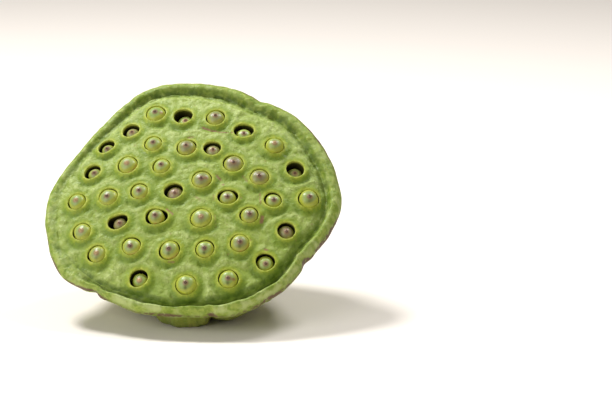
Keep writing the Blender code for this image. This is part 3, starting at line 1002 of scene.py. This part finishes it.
def receptacle_skin():
    skin = Skin("receptacle_skin", roughness=0.5, subsurface=0.08)
    opening = skin.value("opening")
    lip_row = skin.value("lip_row")
    bloom_and_highlight = skin.value("bloom_and_highlight")
    clouds = skin.noise(8.0, detail=2.0)
    flecks = skin.noise(1.6, detail=4.0, distortion=0.6)
    wrinkles = skin.noise(1.9, detail=2.0, distortion=0.3)

    colour = skin.blend(skin.span(clouds, 0.3, 0.7), GREEN, LIGHT_GREEN)
    # Pale bloom, with painted highlight on the upper sides and tops of the bumps
    bloom_and_highlight = skin.times(bloom_and_highlight, skin.span(flecks, 0.3, 0.6, 0.6, 1.0))
    colour = skin.blend(bloom_and_highlight, colour, BLOOM)
    pale = skin.times(skin.span(bloom_and_highlight, 0.55, 1.0), skin.span(flecks, 0.42, 0.65, 0.0, 0.6))
    colour = skin.blend(pale, colour, PALE_BLOOM)
    # Deeper green in the valleys, partly painted shade below each mound
    valley = skin.times(skin.value("valley"), skin.span(flecks, 0.25, 0.65, 0.45, 1.0))
    colour = skin.blend(skin.times(valley, 0.75), colour, DEEP_GREEN)
    ragged = skin.math("ADD", opening, skin.span(flecks, 0.3, 0.7, 0.5, -0.5))
    # Painted shade on the lower, steep side of each mound
    lower = skin.span(skin.value("lower"), 0.3, 0.9, 0.15, 0.7)
    slope_shade = skin.times(skin.span(ragged, 3.2, 1.6), lower)
    colour = skin.blend(slope_shade, colour, SHADE_AND_SPOT_GREEN)
    colour = skin.blend(skin.span(ragged, 0.4, 2.0, 0.85, 0.0), colour, COLLAR_GREEN)
    colour = skin.blend(skin.span(ragged, 0.0, 0.65, 0.55, 0.0), colour, MOUTH_LINE)
    spots = skin.span(skin.noise(2.2, detail=3.0, distortion=0.5), 0.52, 0.68, 0.0, 0.45)
    colour = skin.blend(skin.times(spots, skin.span(opening, 0.6, 2.0)), colour, SHADE_AND_SPOT_GREEN)

    on_rim = skin.span(lip_row, 0.4, 2.0)
    rim = skin.blend(skin.span(wrinkles, 0.35, 0.65), GREEN, RIM_GREEN)
    patches = skin.span(skin.noise(5.0, detail=3.0, distortion=0.3), 0.4, 0.65, 0.0, 0.9)
    patches = skin.times(patches, skin.value("low_side"))
    rim = skin.blend(patches, rim, RIM_BLOOM)
    # Painted shade: the lower half of the rolled lip is darker green
    rim = skin.blend(skin.span(lip_row, 5.6, 8.2, 0.0, 0.6), rim, GREEN)
    colour = skin.blend(on_rim, colour, rim)
    # Painted shade in the groove and the rim's pits
    patchy = skin.span(skin.noise(3.0, detail=3.0), 0.35, 0.6, 0.3, 1.0)
    groove_shade = skin.times(skin.value("groove"), patchy)
    colour = skin.blend(skin.times(groove_shade, 0.9), colour, GROOVE_SHADE_GREEN)

    grain = skin.value("grain", "Vector")
    streaks = skin.noise(3.0, detail=4.0, place=grain, rough=0.6)
    under = skin.blend(skin.span(streaks, 0.35, 0.62), BODY_YELLOW, BODY_OLIVE)
    veins = skin.noise(1.4, detail=3.0, place=grain, rough=0.6)
    under = skin.blend(skin.span(veins, 0.56, 0.72, 0.0, 0.6), under, BODY_BROWN)
    dark_veins = skin.noise(1.1, detail=3.0, place=grain)
    under = skin.blend(skin.span(dark_veins, 0.55, 0.75, 0.0, 0.5), under, DEEP_GREEN)
    colour = skin.blend(skin.span(lip_row, 9.0, 17.0), colour, under)
    colour = skin.blend(skin.span(lip_row, 23.6, 25.2, 0.0, 0.85), colour, BASE_RED)

    scar = skin.times(skin.value("scar"), skin.span(flecks, 0.2, 0.6, 0.4, 1.0))
    colour = skin.blend(skin.span(scar, 0.15, 0.7, 0.0, 0.85), colour, SCAR_PINK)
    freckles = skin.times(skin.span(skin.noise(2.0, detail=1.0), 0.72, 0.77, 0.0, 0.5), bloom_and_highlight)
    colour = skin.blend(freckles, colour, SCAR_PINK)
    dry = skin.times(skin.value("dry"), skin.span(flecks, 0.3, 0.6, 0.3, 1.0))
    colour = skin.blend(skin.span(dry, 0.12, 0.6, 0.0, 0.9), colour, DRY_PURPLE)

    # Painted shade down the wells: their walls darken with depth
    depth = skin.value("depth")
    wall = skin.blend(skin.span(depth, 0.3, 1.6), MOUTH_LINE, WELL_SHADE_GREEN)
    wall = skin.blend(skin.span(depth, 1.2, 3.2), wall, WELL_SHADE_DARK)
    colour = skin.blend(skin.span(depth, 0.02, 0.3), colour, wall)

    roughness = skin.span(flecks, 0.3, 0.7, 0.45, 0.62)
    normal = skin.bump(skin.times(wrinkles, skin.span(opening, 0.3, 2.2, 0.2, 1.0)), 0.55)
    normal = skin.bump(skin.noise(0.8, detail=2.0), 0.12, normal)
    return skin.finish(colour, roughness, normal)


def seed_skin():
    skin = Skin("seed_skin", roughness=0.34, subsurface=0.05)
    tip = skin.value("tip")
    rim = skin.value("rim")
    purple = skin.value("purple")
    mottle = skin.noise(1.4, detail=3.0, distortion=0.4)
    colour = skin.blend(skin.value("seed_tone"), SEED_GREEN, SEED_PALE)
    colour = skin.blend(skin.span(rim, 0.5, 0.92), colour, SEED_RIM)
    colour = skin.blend(skin.times(skin.span(mottle, 0.5, 0.75), 0.35), colour, SEED_MOTTLE)
    shade = skin.times(skin.span(tip, 4.3, 1.8), skin.span(mottle, 0.3, 0.6, 0.55, 1.0))
    colour = skin.blend(skin.times(shade, skin.times(purple, 0.9)), colour, SEED_PURPLE)
    colour = skin.blend(skin.times(skin.value("halo"), 0.8), colour, SEED_HALO)
    tone = skin.value("nub_tone_and_glint")
    round_tip = skin.blend(tone, TIP_BROWN, TIP_TAN)
    colour = skin.blend(skin.span(tip, 1.6, 0.9, 0.0, 0.85), colour, round_tip)
    # Painted highlight: the pale tips get an orange core
    core_and_glint = skin.blend(skin.span(tone, 0.6, 0.8), CORE_BROWN, CORE_GLINT_ORANGE)
    colour = skin.blend(skin.span(tip, 0.85, 0.45, 0.0, 0.85), colour, core_and_glint)
    colour = skin.blend(skin.times(skin.value("smudge"), 0.9), colour, SMUDGE_GREEN)
    colour = skin.blend(skin.times(skin.value("mark"), 0.9), colour, MARK_RED)
    line = skin.times(skin.value("line"), skin.span(skin.noise(2.5), 0.4, 0.6, 0.1, 0.9))
    colour = skin.blend(line, colour, SEED_LINE)
    # A seed deep in its well's shade is made brighter, by adding its colour to itself
    lit = skin.blend(1.0, colour, colour)
    lit.node.blend_type = "ADD"
    colour = skin.blend(skin.times(skin.value("sunk"), 0.8), colour, lit)
    normal = skin.bump(skin.noise(0.5, detail=2.0), 0.03)
    return skin.finish(colour, normal=normal)


def stem_skin():
    skin = Skin("stem_skin", roughness=0.42, subsurface=0.08)
    travel = skin.value("travel")
    grain = skin.value("grain", "Vector")
    streaks = skin.noise(1.8, detail=4.0, place=grain)
    colour = skin.blend(skin.span(streaks, 0.3, 0.7), STEM_GREEN, STEM_YELLOW)
    colour = skin.blend(skin.span(skin.noise(0.9, detail=1.0), 0.68, 0.74, 0.0, 0.6), colour, STEM_FLECK)
    colour = skin.blend(skin.span(travel, 3.6, 1.6), colour, STEM_RED)
    colour = skin.blend(skin.span(travel, 1.2, 0.2), colour, STEM_TOP)
    cut = skin.blend(skin.span(skin.noise(0.8, detail=3.0), 0.35, 0.65), CUT_PALE, CUT_GREEN)
    # Painted shade in the shallow air channels of the cut
    cut = skin.blend(skin.span(skin.value("channel"), 0.1, 0.8), cut, CHANNEL_SHADE)
    colour = skin.blend(skin.value("cut_face"), colour, cut)
    normal = skin.bump(streaks, 0.12)
    return skin.finish(colour, normal=normal)


# Floor, light and camera

FLOOR_REACH = 6.0
FLOOR_COLOUR = (0.93, 0.87, 0.81, 1.0)
WORLD_COLOUR = (1.0, 0.96, 0.88, 1.0)
WORLD_STRENGTH = 0.24
# Round soft lights: name, place and target in metres, width and power
LIGHTS = [
    ("back_left", (-0.42, 0.20, 0.90), (0.0, 0.0, 0.03), 0.26, 9.2),
    ("back_right", (0.42, 0.26, 0.84), (0.0, 0.0, 0.03), 0.26, 4.0),
    ("front_fill", (-0.8, -0.9, 0.6), (0.0, 0.0, 0.05), 0.9, 7.8),
]


def add_floor():
    mesh = bpy.data.meshes.new("floor")
    corners = [(x * FLOOR_REACH, y * FLOOR_REACH, 0.0) for x, y in ((-1, -1), (1, -1), (1, 1), (-1, 1))]
    mesh.from_pydata(corners, [], [(0, 1, 2, 3)])
    paper = bpy.data.materials.new("floor_paper")
    paper.use_nodes = True
    shader = paper.node_tree.nodes["Principled BSDF"]
    shader.inputs["Base Color"].default_value = FLOOR_COLOUR
    shader.inputs["Roughness"].default_value = 0.8
    shader.inputs["Specular IOR Level"].default_value = 0.2
    mesh.materials.append(paper)
    floor = add_object("floor", mesh)


def add_area_light(name, place, target, size, power):
    data = bpy.data.lights.new(name, "AREA")
    data.shape = "DISK"
    data.size = size
    data.energy = power
    light = add_object(name, data)
    light.location = place
    light.rotation_euler = (Vector(place) - Vector(target)).to_track_quat("Z", "Y").to_euler()


def add_light():
    world = bpy.data.worlds.new("studio")
    world.use_nodes = True
    background = world.node_tree.nodes["Background"]
    background.inputs["Color"].default_value = WORLD_COLOUR
    background.inputs["Strength"].default_value = WORLD_STRENGTH
    bpy.context.scene.world = world
    bpy.context.scene.view_settings.view_transform = "Standard"
    for light in LIGHTS:
        add_area_light(*light)


# The camera: distance in metres, angle to the side and above the table, and the turns that
# put the pod where the photo has it in the picture; lens and sensor in mm
CAMERA_DISTANCE = 0.75
CAMERA_SIDE = math.radians(8.0)
CAMERA_RISE = math.radians(15.0)
CAMERA_PAN = math.radians(-3.63)
CAMERA_TILT = math.radians(-0.14)
SENSOR_WIDTH = 36.0
LENS = 109.5


def add_camera():
    data = bpy.data.cameras.new("camera")
    data.sensor_width = SENSOR_WIDTH
    data.lens = LENS
    data.dof.use_dof = False
    data.clip_start = 0.01
    camera = add_object("camera", data)
    level = math.cos(CAMERA_RISE)
    back = Vector((math.sin(CAMERA_SIDE) * level, -math.cos(CAMERA_SIDE) * level, math.sin(CAMERA_RISE)))
    camera.location = Vector(to_world([[0.0, 0.0, 0.0]])[0]) + back * CAMERA_DISTANCE
    camera.rotation_euler = (math.pi / 2 - CAMERA_RISE + CAMERA_TILT, 0.0, CAMERA_SIDE + CAMERA_PAN)
    bpy.context.scene.camera = camera


# The whole pod

add_camera()
add_light()
add_floor()

receptacle = build_receptacle(receptacle_skin())
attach(receptacle, BODY)
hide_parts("receptacle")

seed_material = seed_skin()
for well in WELLS:
    seed = build_seed(well, seed_material)
    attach(seed, BODY)
    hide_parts(well.node)

stem = build_stem(stem_skin())
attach(stem, BODY)
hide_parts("stem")
